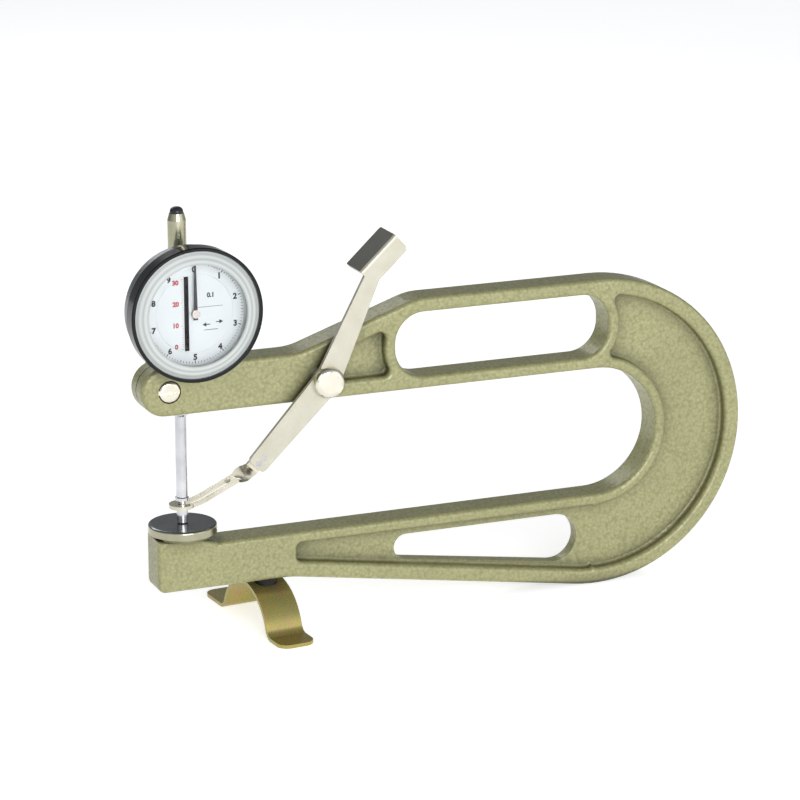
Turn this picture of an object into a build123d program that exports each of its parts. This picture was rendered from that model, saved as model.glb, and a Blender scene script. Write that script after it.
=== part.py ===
from build123d import *
import os
from math import acos, asin, atan2, cos, degrees, pi, radians, sin, sqrt, tan

# Deep-throat dial thickness gauge, in millimetres.
# The origin is the centre of the anvil's measuring face, on the plunger's axis.
# +X runs into the throat, +Y away from the dial's reader and +Z up along the plunger.

# Cast frame
frame_thick = 16.0
edge_round = 2.0
throat_depth = 224.6
arm_drop = 8.6
arm_underside = 50.35
bow_wall = 43.1
bow_radius = 71.5
bow_drop = 1.0
upper_arm_height = 21.85
nose_reach = 19.7
shoulder_x = 51.6
crest_past_slot = 10.3
shoulder_round = 28.0
lower_end_reach = 13.8
lower_end_bottom = 28.9
lower_end_round = 3.5
bottom_flat_margin = 4.2
bottom_blend = 4.0
seat_length = 4.0
seat_ramp = 10.0

# Openings and pockets in the frame
slot_start_x = 97.0
slot_end_back = 24.2
slot_top_rib = 6.6
slot_bottom_rib = 5.5
slot_end_flat = 2.1
web_thick = 6.0
outer_rib = 7.2
inner_rib = 5.1
pocket_corner = 2.6
pocket_floor_round = 1.2
lower_pocket_start_x = 50.0
upper_pocket_start_x = 71.0
lower_slot_start_x = 97.7
lower_slot_end_x = 187.8
lower_slot_start_r = 5.8
lower_slot_end_r = 11.2
lower_slot_cover = 8.8

# Anvil
anvil_d = 30.0
anvil_thick = 5.0
anvil_chamfer = 1.3
anvil_round = 1.0
anvil_shank_d = 10.0
anvil_shank_length = 13.0
set_screw_d = 4.0
set_screw_drop = 9.0
set_screw_inset = 0.6
set_screw_socket_depth = 1.2

# Foot under the lower arm
foot_x = 37.9
foot_turn = 4.8
foot_width = 17.0
foot_thick = 1.6
foot_shift = 3.5
foot_front_reach = 37.5
foot_rear_reach = 45.0
foot_corner = 5.0
foot_arch_r = 23.2
foot_toe_r = 4.8
foot_spacer_d = 10.0
foot_spacer_thick = 2.6
foot_screw_d = 5.0
foot_screw_depth = 10.0
foot_head_d = 9.0
foot_head_thick = 3.0
foot_washer_d = 10.0
foot_washer_thick = 2.0

# Fits
fit_gap = 0.02
run_gap = 0.05
side_gap = 0.1
hole_room = 0.25
screw_end_room = 1.0

# Stem and its clamp
stem_d = 8.0
stem_below_arm = 2.2
stem_chamfer = 1.2
clamp_slit = 0.6
clamp_wall = 1.2
clamp_screw_d = 4.0
clamp_head_d = 9.6
clamp_head_thick = 3.0
clamp_head_proud = 0.6
clamp_head_round = 1.3
clamp_driver_slot = 1.6
clamp_driver_depth = 1.3

# Dial indicator
dial_z = 98.3
case_gap = 1.0
indicator_depth = 16.8
case_d = 54.5
case_wall = 1.5
drum_d = 39.0
drum_back = 7.0
cover_thick = 1.5
cover_screw_d = 2.0
cover_screw_r = 16.7
cover_lug_d = 3.6
cover_head_d = 3.6
cover_head_thick = 1.2
cover_screw_grip = 5.0
cover_lug_length = 12.0
boss_d = 11.0
boss_bottom = 76.8
top_boss_d = 9.0
top_boss_z = 118.4
top_tube_d = 8.0
top_tube_top = 137.0
top_tube_neck_d = 6.4
top_tube_taper = 3.0

# Bezel, crystal and dial
bezel_d = 58.0
bezel_depth = 7.5
bezel_rim = 1.5
bezel_lap = 1.8
crystal_thick = 2.2
crystal_proud = 0.5
crystal_bevel_r = 21.8
crystal_bevel_drop = 1.8
crystal_ledge = 2.3
dial_recess = 5.1
dial_thick = 0.5
inner_dial_r = 17.0
scale_gap = 0.08
travel_slot_x = -3.5
travel_slot_width = 2.1
travel_slot_margin = 1.1

# Plunger
travel = 30.0
plunger_d = 5.0
rest_gap = 0.05
tip_length = 6.35
neck_d = 3.6
neck_length = 4.0
collar_d = 6.0
collar_length = 1.6
tip_stud_d = 2.5
tip_stud_grip = 5.0
knob_d = 5.8
knob_height = 2.5
knob_spigot_d = 2.5
knob_spigot_length = 3.0

# Gear train
rack_pitch = 1.25
rack_teeth = 30
rack_line = 1.6
rack_addendum = 0.35
rack_dedendum = 0.45
pinion_teeth = 16
pinion_width = 5.0
train_module = 0.4
drive_teeth = 40
small_teeth = 20
tooth_share = 0.40
gear_width = 1.0
idler_angle = 8.0
arbor_d = 1.5
pivot_length = 1.8

# Movement plates, between the gears and behind the dial
front_plate_y = -15.5
rear_plate_y = -8.8
plate_thick = 1.0
post_d = 2.5
post_places = ((0.0, 15.0), (14.5, 3.0), (-13.5, 4.0))

# Index carrier and return spring
carrier_height = 1.2
grip_edge = 0.6
grip_wall = 1.0
carrier_arm_x = -4.6
carrier_arm_width = 1.2
carrier_window_gap = 0.4
index_width = 1.3
index_height = 1.4
spring_x = -10.0
spring_d = 3.6
spring_wire = 0.45
spring_turns = 12
spring_length = 9.5
spring_post_d = 1.6
hook_rise = 4.8

# Needle
needle_length = 24.6
needle_tail = 2.6
needle_root_width = 1.9
needle_tip_width = 0.6
needle_thick = 0.3
needle_lift = 1.7
needle_hub_d = 3.4
needle_hub_thick = 1.3

# Lifting lever
pivot_x = 62.8
pivot_z = 59.8
pivot_d = 6.0
pivot_thread_d = 5.0
pivot_head_d = 14.0
pivot_head_thick = 4.0
pivot_dome = 2.6
pivot_slot_width = 3.0
pivot_slot_depth = 0.8
pivot_slot_turn = 35.0
washer_d = 12.0
washer_thick = 3.0
lever_thick = 2.0
lower_lever_length = 48.2
lower_lever_angle = 226.1
lower_lever_root = 12.4
lower_lever_end = 9.0
lower_lever_corner = 2.0
upper_lever_length = 50.0
upper_lever_angle = 64.8
upper_lever_root = 11.5
upper_lever_end = 7.0
head_length = 22.0
head_width = 9.25
head_tilt = 43.1
head_overlap = 3.0
head_rise = 5.6
head_corner = 2.5
tab_depth = 16.5
tab_bend_r = 1.6
tab_corner = 1.0

# Fork blade, from the lever to the plunger's neck
blade_thick = 1.6
blade_width = 8.5
blade_height = 7.8
eye_d = 11.5
neck_room = 0.4
fork_slide_end = 4.6
blade_bend_start = 2.0
blade_bend_r = 30.0
blade_bend = 25.0
twist_length = 3.67
tail_width = 6.4
tail_lap = 7.0
twist_steps = 8
tail_reach = 1.6
rivet_d = 2.5
rivet_head_d = 3.8
rivet_head_thick = 0.6
rivet_inset = 2.0
rivet_pitch = 3.2

# Levels worked out from the sizes above
half_thick = frame_thick / 2
lower_top = -arm_drop
throat_r = (arm_underside + arm_drop) / 2
throat_z = (arm_underside - arm_drop) / 2
throat_x = throat_depth - throat_r
bow_x = throat_depth + bow_wall - bow_radius
bow_z = throat_z - bow_drop
bow_top = bow_z + bow_radius
ground_z = bow_z - bow_radius
arm_top = arm_underside + upper_arm_height
nose_r = upper_arm_height / 2
nose_x = nose_r - nose_reach
nose_z = arm_underside + nose_r
stem_r = stem_d / 2
clamp_x = -(stem_r + clamp_wall + clamp_screw_d / 2)
foot_seat_z = -lower_end_bottom - foot_spacer_thick
flat_end_x = foot_x + foot_spacer_d / 2 + bottom_flat_margin
to_bow = sqrt((bow_x - flat_end_x) ** 2 + (bow_z + lower_end_bottom) ** 2)
bottom_slope = asin(bow_radius / to_bow) - atan2(bow_z + lower_end_bottom, bow_x - flat_end_x)
bottom_round = bottom_blend / tan(bottom_slope / 2)
crest_x = slot_start_x + crest_past_slot
shoulder_slope = atan2(bow_top - arm_top, crest_x - shoulder_x)
slot_bottom = arm_underside + slot_bottom_rib
slot_top = bow_top - slot_top_rib
slot_corner = (slot_top - slot_bottom - slot_end_flat) / 2
set_screw_z = -anvil_thick - set_screw_drop
case_back = -(half_thick + case_gap)
bezel_front = case_back - indicator_depth
bezel_back = bezel_front + bezel_depth
case_front = bezel_back - bezel_lap
dial_front = bezel_front + dial_recess
dial_back = dial_front + dial_thick
bezel_r = bezel_d / 2
case_r = case_d / 2
case_inner_r = case_r - case_wall
drum_r = drum_d / 2
drum_inner_r = drum_r - case_wall
scale_outer_r = case_r - case_wall / 2
plunger_r = plunger_d / 2
plunger_bore_r = plunger_r + run_gap
neck_bottom = rest_gap + tip_length
neck_top = neck_bottom + neck_length
plunger_bottom = neck_top + collar_length
index_z = dial_z - travel / 2
pinion_r = rack_pitch * pinion_teeth / (2 * pi)
drive_r = train_module * drive_teeth / 2
small_r = train_module * small_teeth / 2
pinion_x = rack_line + pinion_r
idler_x = 2 * small_r * cos(radians(idler_angle))
idler_z = dial_z + 2 * small_r * sin(radians(idler_angle))
pinion_z = idler_z - sqrt((drive_r + small_r) ** 2 - (idler_x - pinion_x) ** 2)
drive_y = rear_plate_y - plate_thick - 1.2
centre_gear_y = drive_y - gear_width - 0.5
spring_y = (front_plate_y + rear_plate_y) / 2 - 0.6
spring_bottom = index_z + hook_rise - spring_length
washer_front = -(half_thick + washer_thick)
lever_back = washer_front - side_gap
lever_front = lever_back - lever_thick
tail_back = lever_back + blade_thick
tail_x = pivot_x + (lower_lever_length + tail_reach) * cos(radians(lower_lever_angle))
blade_end_x = tail_x - twist_length
fork_slide = blade_end_x - fork_slide_end


def slab(sketch, front, back):
    """A sketch drawn in X and Z, filled from the depth front to the depth back."""
    return extrude(Plane.XZ.offset(-back) * sketch, amount=back - front, dir=(0, -1, 0))


def rod_y(x, z, radius, front, back):
    return slab(Pos(x, z) * Circle(radius), front, back)


def rod_z(radius, bottom, top, x=0.0, y=0.0):
    return extrude(Pos(x, y, bottom) * Circle(radius), amount=top - bottom)


def turned_y(x, z, profile):
    """A turned piece about an axis along Y, from points of radius and depth."""
    outline = make_face(Polyline(*profile, close=True))
    return Pos(x, 0, z) * revolve(outline, Axis.Y)


def round_corner(sketch, x, z, radius):
    """Round the one corner of a sketch that lies nearest to a point."""
    corner = sketch.vertices().sort_by_distance((x, z, 0))[0]
    return fillet(corner, radius)


def face_edges(solid, depth):
    return solid.edges().filter_by_position(Axis.Y, depth, depth)


def bent_strip(moves, thick):
    """Side view of a bent strip that starts at the origin along +x.

    Each move is a length and the angle in degrees that the strip turns over it.
    """
    x, y, heading = 0.0, 0.0, 0.0
    left, right = [], []
    for length, turn in moves:
        shares = (0.0, 1.0) if turn == 0 else (0.0, 0.5, 1.0)
        sides = {1: [], -1: []}
        for share in shares:
            angle = heading + radians(turn) * share
            if turn == 0:
                px = x + length * share * cos(heading)
                py = y + length * share * sin(heading)
            else:
                bend_r = length / radians(turn)
                px = x + bend_r * (sin(angle) - sin(heading))
                py = y - bend_r * (cos(angle) - cos(heading))
            for side in sides:
                offset_x = -side * thick / 2 * sin(angle)
                offset_y = side * thick / 2 * cos(angle)
                sides[side].append((px + offset_x, py + offset_y))
        edge = Line if turn == 0 else ThreePointArc
        left.append(edge(*sides[1]))
        right.append(edge(*sides[-1]))
        x, y, heading = px, py, angle
    start = Line(left[0] @ 0, right[0] @ 0)
    end = Line(left[-1] @ 1, right[-1] @ 1)
    return make_face([start, *left, end, *right])


def gear_face(teeth, pitch_r, addendum, dedendum, share, phase):
    """Toothed outline with straight flanks; phase turns a tooth away from +x, in degrees."""
    half = pi / teeth * share
    lean = tan(radians(20))
    tip_r = pitch_r + addendum
    root_r = pitch_r - dedendum
    corners = ((root_r, -half - dedendum * lean / root_r), (tip_r, -half + addendum * lean / tip_r),
               (tip_r, half - addendum * lean / tip_r), (root_r, half + dedendum * lean / root_r))
    points = []
    for tooth in range(teeth):
        middle = radians(phase) + 2 * pi * tooth / teeth
        for radius, angle in corners:
            points.append((radius * cos(middle + angle), radius * sin(middle + angle)))
    return make_face(Polyline(*points, close=True))


def train_face(teeth, phase):
    pitch_r = train_module * teeth / 2
    return gear_face(teeth, pitch_r, 0.8 * train_module, 1.1 * train_module, tooth_share, phase)


def frame_outline(inset=0.0):
    """Front view of the casting's outer edge, moved inward by inset, before the throat is cut."""
    radius = bow_radius - inset
    touch_x = bow_x - radius * sin(bottom_slope)
    touch_z = bow_z - radius * cos(bottom_slope)
    low = inset - lower_end_bottom
    high = arm_top - inset
    left = inset - lower_end_reach
    slope_start_x = flat_end_x + inset * tan(bottom_slope / 2)
    slope_foot_x = shoulder_x + inset * tan(shoulder_slope / 2)
    slope_end_x = slope_foot_x + crest_x - shoulder_x
    upper = Polygon((nose_x, arm_underside + inset), (bow_x, arm_underside + inset),
                    (bow_x, bow_top - inset), (slope_end_x, bow_top - inset),
                    (slope_foot_x, high), (nose_x, high), align=None)
    upper = round_corner(upper, slope_foot_x, high, shoulder_round + inset)
    upper = round_corner(upper, slope_end_x, bow_top - inset, shoulder_round - inset)
    lower = Polygon((left, low), (slope_start_x, low), (touch_x, touch_z), (bow_x, bow_z),
                    (left, bow_z), align=None)
    lower = round_corner(lower, left, low, lower_end_round)
    lower = round_corner(lower, slope_start_x, low, bottom_round + inset)
    nose = Pos(nose_x, nose_z) * Circle(nose_r - inset)
    bow = Pos(bow_x, bow_z) * Circle(radius)
    return upper + lower + nose + bow


def throat_outline(grow=0.0):
    """The throat with its round end, made larger all round by grow."""
    height = 2 * (throat_r + grow)
    length = throat_x + nose_reach + frame_thick
    straight = Pos(throat_x - length / 2, throat_z) * Rectangle(length, height)
    return straight + Pos(throat_x, throat_z) * Circle(throat_r + grow)


def seat_outline():
    """Raised seat under the anvil, with a ramp down to the throat's floor."""
    root = lower_top - edge_round
    return Polygon((-lower_end_reach, root), (seat_length + seat_ramp, root),
                   (seat_length + seat_ramp, lower_top), (seat_length, -anvil_thick),
                   (-lower_end_reach, -anvil_thick), align=None)


def upper_slot_outline(grow=0.0):
    left = slot_start_x - grow
    right = throat_depth - slot_end_back + grow
    bottom = slot_bottom - grow
    top = slot_top + grow
    place = Pos((left + right) / 2, (bottom + top) / 2)
    return place * RectangleRounded(right - left, top - bottom, slot_corner + grow)


def lower_slot_outline():
    """Tapered slot between a small and a large round end."""
    start_z = lower_top - lower_slot_cover - lower_slot_start_r
    end_z = lower_top - lower_slot_cover - lower_slot_end_r
    start = Pos(lower_slot_start_x + lower_slot_start_r, start_z) * Circle(lower_slot_start_r)
    end = Pos(lower_slot_end_x - lower_slot_end_r, end_z) * Circle(lower_slot_end_r)
    return make_hull((start + end).edges())


def pocket_outline(left, right, bottom, top):
    """The part of the frame's face that lies inside all its ribs and a window."""
    inside = frame_outline(outer_rib)
    window = Pos((left + right) / 2, (bottom + top) / 2) * Rectangle(right - left, top - bottom)
    field = (inside & window) - throat_outline(inner_rib) - upper_slot_outline(inner_rib)
    return offset(offset(field, -pocket_corner), pocket_corner)


def pocket_cutter(outline):
    """One pocket on each face, with rounded floor edges, leaving the web between them."""
    depth = half_thick - web_thick / 2
    front = slab(outline, -half_thick - 1, -half_thick + depth)
    front = fillet(face_edges(front, -half_thick + depth), pocket_floor_round)
    return front + mirror(front, Plane.XZ)


def make_frame():
    right = throat_depth + bow_wall
    outline = frame_outline() - throat_outline() - upper_slot_outline() + seat_outline()
    body = slab(outline, -half_thick, half_thick)
    bow_pocket = pocket_outline(throat_depth - slot_end_back, right, ground_z, bow_top)
    arm_pocket = pocket_outline(lower_pocket_start_x, throat_x, ground_z, lower_top)
    side_pocket = pocket_outline(throat_x - 1, right, ground_z, throat_z)
    rear_field = arm_pocket + side_pocket + bow_pocket
    small_pocket = pocket_outline(upper_pocket_start_x, slot_start_x, arm_underside + inner_rib, bow_top)
    body -= pocket_cutter(rear_field)
    body -= pocket_cutter(small_pocket)
    rims = face_edges(body, -half_thick) + face_edges(body, half_thick)
    body = fillet(rims, edge_round)
    body -= slab(lower_slot_outline(), -half_thick, half_thick)
    body -= rod_z(foot_screw_d / 2 + fit_gap, foot_seat_z, foot_seat_z + foot_screw_depth, foot_x)
    shank_bottom = -anvil_thick - anvil_shank_length
    body -= rod_z(anvil_shank_d / 2 + fit_gap, shank_bottom, -anvil_thick)
    body -= rod_y(0, set_screw_z, set_screw_d / 2 + fit_gap, 0, half_thick)
    body -= rod_z(stem_r + fit_gap, arm_underside, arm_top)
    slit_length = nose_reach + 1
    body -= Pos(-slit_length / 2, 0, nose_z) * Box(slit_length, clamp_slit, upper_arm_height + 2)
    body -= rod_y(clamp_x, nose_z, clamp_screw_d / 2 + fit_gap, -half_thick, half_thick)
    seat_depth = clamp_head_thick - clamp_head_proud
    body -= rod_y(clamp_x, nose_z, clamp_head_d / 2 + hole_room, -half_thick, seat_depth - half_thick)
    body -= rod_y(pivot_x, pivot_z, pivot_thread_d / 2 + fit_gap, -half_thick, half_thick)
    return body


def make_anvil():
    disc = rod_z(anvil_d / 2, -anvil_thick, 0)
    disc = chamfer(disc.edges().sort_by(Axis.Z)[0], anvil_chamfer)
    disc = fillet(disc.edges().sort_by(Axis.Z)[-1], anvil_round)
    return disc + rod_z(anvil_shank_d / 2, -anvil_thick - anvil_shank_length, -anvil_thick)


def make_set_screw():
    tip = anvil_shank_d / 2 + fit_gap
    back = half_thick - set_screw_inset
    screw = rod_y(0, set_screw_z, set_screw_d / 2, tip, back)
    socket = Pos(0, set_screw_z) * RegularPolygon(set_screw_d / 4, 6)
    return screw - slab(socket, back - set_screw_socket_depth, back)


def foot_leg(reach):
    """Side view of half of the foot, from the crown down the arch to the end of its lip."""
    drop = foot_seat_z - ground_z - foot_thick
    steep = acos(1 - drop / (foot_arch_r + foot_toe_r))
    lip = reach - (foot_arch_r + foot_toe_r) * sin(steep)
    return bent_strip(((foot_arch_r * steep, -degrees(steep)), (foot_toe_r * steep, degrees(steep)),
                       (lip, 0)), foot_thick)


def make_foot():
    """Arched strip whose crown lies under the arm and whose two flat lips stand on the bench."""
    rear = extrude(Plane.YZ * foot_leg(foot_rear_reach), amount=foot_width / 2, both=True)
    front = extrude(Plane.YZ * foot_leg(foot_front_reach), amount=foot_width / 2, both=True)
    strip = Pos(0, foot_shift, foot_seat_z - foot_thick / 2) * (rear + mirror(front, Plane.XZ))
    length = foot_front_reach + foot_rear_reach
    middle = foot_shift + (foot_rear_reach - foot_front_reach) / 2
    plan = Pos(0, middle, ground_z - 1) * RectangleRounded(foot_width, length, foot_corner)
    strip = strip & extrude(plan, amount=foot_seat_z - ground_z + 2)
    strip -= rod_z(foot_screw_d / 2 + hole_room, ground_z, foot_seat_z + 1)
    return Pos(foot_x, 0, 0) * Rot(0, 0, foot_turn) * strip


def make_foot_spacer():
    """Bush between the arm and the crown, hollowed to sit on the arch."""
    spacer = rod_z(foot_spacer_d / 2, foot_seat_z - foot_thick / 2, -lower_end_bottom, foot_x)
    spacer -= rod_z(foot_screw_d / 2 + hole_room, foot_seat_z - foot_thick, -lower_end_bottom, foot_x)
    return spacer - make_foot()


def make_foot_washer():
    """Saddle washer whose upper face follows the arch of the foot."""
    top = foot_seat_z - foot_thick
    washer = rod_z(foot_washer_d / 2, top - foot_washer_thick, top, foot_x) - make_foot()
    return washer - rod_z(foot_screw_d / 2 + hole_room, top - foot_washer_thick, top, foot_x)


def make_foot_screw():
    head_top = foot_seat_z - foot_thick - foot_washer_thick
    head = rod_z(foot_head_d / 2, head_top - foot_head_thick, head_top, foot_x)
    head = fillet(head.edges().sort_by(Axis.Z)[0], 1.0)
    slot = Pos(foot_x, 0, head_top - foot_head_thick) * Box(foot_head_d + 1, 1.2, 2.4)
    tip = foot_seat_z + foot_screw_depth - screw_end_room
    return head - slot + rod_z(foot_screw_d / 2, head_top, tip, foot_x)


def make_clamp_screw():
    """Slotted cheese-head screw that draws the slit nose together round the stem."""
    under_head = -half_thick + clamp_head_thick - clamp_head_proud
    head_front = under_head - clamp_head_thick
    head = rod_y(clamp_x, nose_z, clamp_head_d / 2, head_front, under_head)
    head = fillet(face_edges(head, head_front), clamp_head_round)
    cutter = Box(clamp_head_d + 1, 2 * clamp_driver_depth, clamp_driver_slot)
    slot = Pos(clamp_x, head_front, nose_z) * cutter
    shank = rod_y(clamp_x, nose_z, clamp_screw_d / 2, under_head, half_thick - screw_end_room / 2)
    return head - slot + shank


def make_stem():
    top = dial_z - drum_inner_r
    bottom = arm_underside - stem_below_arm
    stem = rod_z(stem_r, bottom, top)
    stem = chamfer(stem.edges().sort_by(Axis.Z)[0], stem_chamfer)
    return stem - rod_z(plunger_bore_r, bottom, top)


def cover_places():
    reach = cover_screw_r / sqrt(2)
    return [(side * reach, dial_z + level * reach) for side in (1, -1) for level in (1, -1)]


def make_case():
    """Round case: a wide cup for the dial in front and a narrower drum for the rack behind."""
    case = rod_y(0, dial_z, case_r, case_front, case_back)
    case = fillet(face_edges(case, case_back), 1.5)
    case += rod_y(0, dial_z, drum_r, case_back - case_wall, drum_back)
    case += rod_z(boss_d / 2, boss_bottom, dial_z - drum_inner_r + 2)
    case += rod_z(top_boss_d / 2, dial_z + drum_inner_r - 2, top_boss_z)
    case -= rod_y(0, dial_z, case_inner_r, case_front, case_back - case_wall)
    case -= rod_y(0, dial_z, drum_inner_r, case_front, drum_back)
    for x, z in cover_places():
        case += rod_y(x, z, cover_lug_d / 2, drum_back - cover_lug_length, drum_back)
    hole_end = drum_back - cover_screw_grip - screw_end_room
    for x, z in cover_places():
        case -= rod_y(x, z, cover_screw_d / 2 + fit_gap, hole_end, drum_back)
    case -= rod_z(stem_r + fit_gap, boss_bottom, dial_z)
    case -= rod_z(plunger_bore_r, dial_z, top_boss_z)
    return case


def make_back_cover():
    cover = rod_y(0, dial_z, drum_r, drum_back, drum_back + cover_thick)
    cover = fillet(face_edges(cover, drum_back + cover_thick), 0.5)
    cover += rod_y(pinion_x, pinion_z, 2.6, drum_back - 2.5, drum_back)
    cover -= rod_y(pinion_x, pinion_z, arbor_d / 2 + run_gap, drum_back - 2.5, drum_back - 0.4)
    for x, z in cover_places():
        cover -= rod_y(x, z, cover_screw_d / 2 + hole_room, drum_back, drum_back + cover_thick)
    return cover


def make_cover_screws():
    seat = drum_back + cover_thick
    screws = []
    for x, z in cover_places():
        head = rod_y(x, z, cover_head_d / 2, seat, seat + cover_head_thick)
        slot = Pos(x, seat + cover_head_thick, z) * Box(cover_head_d + 1, 1.0, 0.5)
        screws.append(head - slot + rod_y(x, z, cover_screw_d / 2, drum_back - cover_screw_grip, seat))
    return Compound(screws)


def make_top_tube():
    """Guard tube round the plunger's upper end, tapered at the top."""
    taper_start = top_tube_top - top_tube_taper
    tube = rod_z(top_tube_d / 2, top_boss_z, taper_start)
    lower_ring = Pos(0, 0, taper_start) * Circle(top_tube_d / 2)
    upper_ring = Pos(0, 0, top_tube_top) * Circle(top_tube_neck_d / 2)
    tube += loft((lower_ring, upper_ring))
    return tube - rod_z(plunger_bore_r, top_boss_z, top_tube_top)


def make_bezel():
    """Turned ring that laps over the case's mouth and holds the crystal and the scale."""
    seat_back = bezel_front + crystal_thick - crystal_proud
    mouth_r = case_r + run_gap
    ledge_r = scale_outer_r
    seat_r = bezel_r - bezel_rim
    profile = ((ledge_r, seat_back), (seat_r, seat_back), (seat_r, bezel_front),
               (bezel_r - 0.4, bezel_front), (bezel_r, bezel_front + 0.4),
               (bezel_r, bezel_back - 0.4), (bezel_r - 0.4, bezel_back),
               (mouth_r, bezel_back), (mouth_r, case_front - side_gap), (ledge_r, case_front - side_gap))
    return turned_y(0, dial_z, profile)


def make_crystal():
    back = bezel_front + crystal_thick - crystal_proud
    front = bezel_front - crystal_proud
    rim_r = bezel_r - bezel_rim - fit_gap
    profile = ((0, back), (rim_r, back), (rim_r, front + crystal_bevel_drop),
               (crystal_bevel_r, front), (0, front))
    return turned_y(0, dial_z, profile)


def make_scale_ring():
    ring = rod_y(0, dial_z, scale_outer_r - fit_gap, dial_front, dial_back)
    return ring - rod_y(0, dial_z, inner_dial_r + scale_gap, dial_front, dial_back)


def travel_window(width, margin, front, back):
    """Upright window of the index's travel, as wide and long as asked."""
    shape = Rectangle(width, travel + 2 * margin)
    return slab(Pos(travel_slot_x, dial_z) * shape, front, back)


def make_dial_plate():
    plate = rod_y(0, dial_z, inner_dial_r, dial_front, dial_back)
    for x, z in post_places:
        plate += rod_y(x, dial_z + z, post_d / 2, dial_back, front_plate_y - plate_thick)
    plate -= rod_y(0, dial_z, arbor_d / 2 + 0.4, dial_front, dial_back)
    return plate - travel_window(travel_slot_width, travel_slot_margin, dial_front, dial_back)


def plate_holes(plate, back):
    """Bearing holes and the carrier's window, cut in a movement plate."""
    front = back - plate_thick
    for x, z in ((0, dial_z), (idler_x, idler_z), (pinion_x, pinion_z)):
        plate -= rod_y(x, z, arbor_d / 2 + run_gap, front, back)
    left = carrier_arm_x - carrier_arm_width - carrier_window_gap
    right = carrier_arm_x + carrier_window_gap
    height = travel + carrier_height + 2 * carrier_window_gap
    window = Pos((left + right) / 2, dial_z) * Rectangle(right - left, height)
    return plate - slab(window, front, back)


def make_front_plate():
    plate = rod_y(0, dial_z, case_inner_r - fit_gap, front_plate_y - plate_thick, front_plate_y)
    post_z = spring_bottom - 1.0
    plate += rod_y(spring_x, post_z, spring_post_d / 2, front_plate_y, spring_y + spring_d / 2)
    return plate_holes(plate, front_plate_y)


def make_rear_plate():
    plate = rod_y(0, dial_z, drum_inner_r - fit_gap, rear_plate_y - plate_thick, rear_plate_y)
    return plate_holes(plate, rear_plate_y)


def make_posts():
    back = rear_plate_y - plate_thick
    return Compound([rod_y(x, dial_z + z, post_d / 2, front_plate_y, back) for x, z in post_places])


def make_plunger():
    """Long spindle with a rack cut in its right side."""
    rod = rod_z(plunger_r, plunger_bottom, top_tube_top)
    crest = rack_line + rack_addendum
    rack_top = pinion_z + rack_pitch * 2.5
    rack_bottom = rack_top - rack_teeth * rack_pitch
    flat = Pos((crest + plunger_r + 1) / 2, 0, (rack_top + rack_bottom) / 2)
    rod -= flat * Box(plunger_r + 1 - crest, plunger_d + 1, rack_top - rack_bottom)
    lean = tan(radians(20))
    gap = rack_pitch * (1 - tooth_share)
    mouth = gap / 2 + rack_addendum * lean
    floor = gap / 2 - rack_dedendum * lean
    root = rack_line - rack_dedendum
    cuts = []
    for tooth in range(rack_teeth):
        middle = pinion_z + (2 - tooth) * rack_pitch
        notch = Polygon((crest + 0.1, middle - mouth), (root, middle - floor), (root, middle + floor),
                        (crest + 0.1, middle + mouth), align=None)
        cuts.append(slab(notch, -plunger_r, plunger_r))
    rod -= cuts
    rod -= rod_z(tip_stud_d / 2 + fit_gap, plunger_bottom, plunger_bottom + tip_stud_grip + 1)
    return rod - rod_z(knob_spigot_d / 2 + fit_gap, top_tube_top - knob_spigot_length - 0.5, top_tube_top)


def make_lift_spool():
    """Collar and neck that the lever's fork lifts."""
    spool = rod_z(neck_d / 2, neck_bottom, neck_top) + rod_z(collar_d / 2, neck_top, plunger_bottom)
    spool = chamfer(spool.edges().sort_by(Axis.Z)[-1], 0.4)
    return spool - rod_z(tip_stud_d / 2 + fit_gap, neck_bottom, plunger_bottom)


def make_contact_tip():
    tip = rod_z(plunger_r, rest_gap, neck_bottom)
    tip = fillet(tip.edges().sort_by(Axis.Z)[0], 0.5)
    return tip + rod_z(tip_stud_d / 2, neck_bottom, plunger_bottom + tip_stud_grip)


def make_top_knob():
    bottom = top_tube_top + side_gap
    knob = rod_z(knob_d / 2, bottom, bottom + knob_height)
    knob = fillet(knob.edges().sort_by(Axis.Z)[-1], 2.0)
    return knob + rod_z(knob_spigot_d / 2, top_tube_top - knob_spigot_length, bottom)


def make_carrier():
    """Bracket on the plunger that carries the travel index and pulls the return spring."""
    low = index_z - carrier_height / 2
    arm_left = carrier_arm_x - carrier_arm_width
    grip_width = grip_edge - arm_left
    grip_back = plunger_r + grip_wall
    grip = Pos(arm_left + grip_width / 2, 0, index_z)
    carrier = grip * Box(grip_width, 2 * grip_back, carrier_height)
    carrier -= rod_z(plunger_r + fit_gap, low, low + carrier_height)
    arm_front = front_plate_y - plate_thick - 1.0
    arm_length = grip_back - arm_front
    arm_place = Pos(arm_left + carrier_arm_width / 2, (arm_front + grip_back) / 2, index_z)
    carrier += arm_place * Box(carrier_arm_width, arm_length, carrier_height)
    toe_right = travel_slot_x + index_width / 2
    toe = Pos((arm_left + toe_right) / 2, arm_front + 0.4, index_z)
    carrier += toe * Box(toe_right - arm_left, 0.8, carrier_height)
    hook_top = index_z + hook_rise
    hook_left = spring_x + spring_d / 2 + 0.4
    riser = Pos(hook_left + 0.5, spring_y, (low + hook_top + 1.6) / 2)
    carrier += Pos((hook_left + arm_left) / 2, spring_y, index_z) * Box(arm_left - hook_left, 1.2, 1.0)
    carrier += riser * Box(1.0, 1.2, hook_top + 1.6 - low)
    peg = Pos((spring_x + hook_left) / 2, spring_y, hook_top + 1.0)
    return carrier + peg * Box(hook_left - spring_x + 1.6, 1.2, 1.2)


def make_travel_index():
    """Small upright pointer seen in the dial's slot."""
    back = front_plate_y - plate_thick - 1.0
    shape = Pos(travel_slot_x, index_z) * Rectangle(index_width, index_height)
    return slab(shape, dial_front + 0.1, back)


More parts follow.
